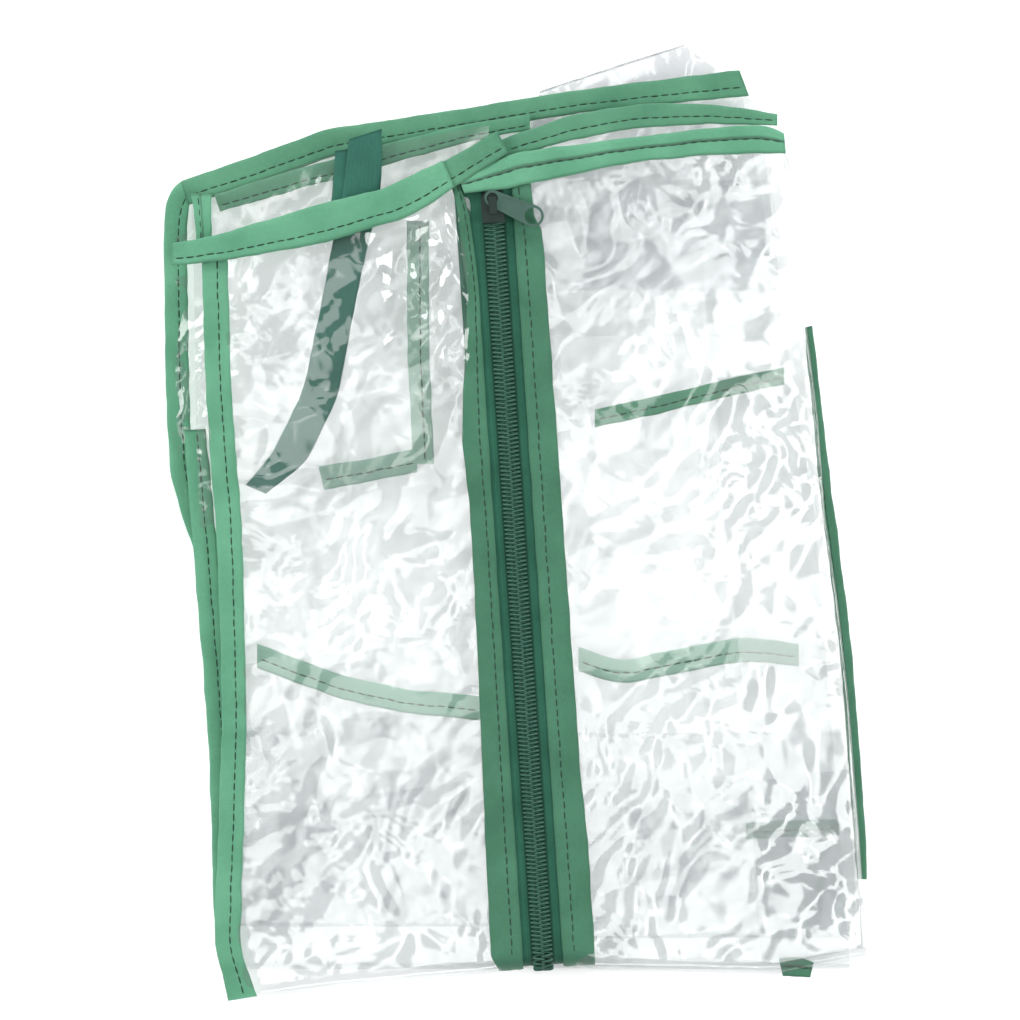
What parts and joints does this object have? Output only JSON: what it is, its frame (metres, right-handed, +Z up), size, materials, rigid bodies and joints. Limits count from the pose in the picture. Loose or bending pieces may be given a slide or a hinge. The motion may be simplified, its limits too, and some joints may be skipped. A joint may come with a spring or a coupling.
{
  "type": "folded mini greenhouse cover",
  "caption": "Clear film cover of a mini walk-in greenhouse, folded flat, with green bound edges, webbing ties and a coil zip whose slider runs down the door.",
  "frame": {"origin": "middle of the folded cover's outline, on the flat surface it lies on", "axes": "+Z up from the surface, +Y from the lower fold to the top bindings, +X to the right seen from above"},
  "size_m": [0.2434, 0.3308, 0.0221],
  "materials": {
    "film": "clear soft PVC film, glossy and crumpled",
    "binding": "plain woven polyester binding tape",
    "zip_tape": "herringbone woven zip tape",
    "webbing": "ribbed woven webbing",
    "coil": "dyed nylon coil, slight sheen",
    "pull_metal": "grey-green enamel on cast zinc"
  },
  "bodies": {
    "cover": {"back_left_binding": "binding", "back_panel": "film", "back_top_binding": "binding", "front_left_panel": "film", "front_left_top_binding": "binding", "front_right_panel": "film", "front_right_top_binding": "binding", "hem_corner_tab": "binding", "inner_tie": "webbing", "inner_top_binding": "binding", "left_front_binding": "binding", "left_side_binding": "binding", "left_side_panel": "film", "left_upright_inner_binding": "binding", "lower_left_inner_binding": "binding", "lower_right_hem_binding": "binding", "lower_right_inner_binding": "binding", "outer_tie": "webbing", "right_side_binding": "binding", "right_side_panel": "film", "roof_panel": "film", "side_top_binding": "binding", "side_top_panel": "film", "top_binding_overlap": "binding", "upper_left_inner_binding": "binding", "upper_right_inner_binding": "binding", "upper_side_binding": "binding", "zip_coil_left": "coil", "zip_coil_right": "coil", "zip_left_binding": "binding", "zip_right_binding": "binding", "zip_tape_left": "zip_tape", "zip_tape_right": "zip_tape"},
    "slider": {"zip_slider": "pull_metal"},
    "pull": {"zip_pull_tab": "pull_metal"}
  },
  "joints": [
    {"name": "zip_slide", "type": "slide", "parent": "cover", "child": "slider", "axis": [0.0663, -0.9978, 0], "range_m": [0, 0.25]},
    {"name": "pull_swing", "type": "hinge", "parent": "slider", "child": "pull", "pos_m": [-0.00779, 0.11149, 0.0203], "axis": [0, 0, 1], "range_deg": [0, 235]}
  ]
}
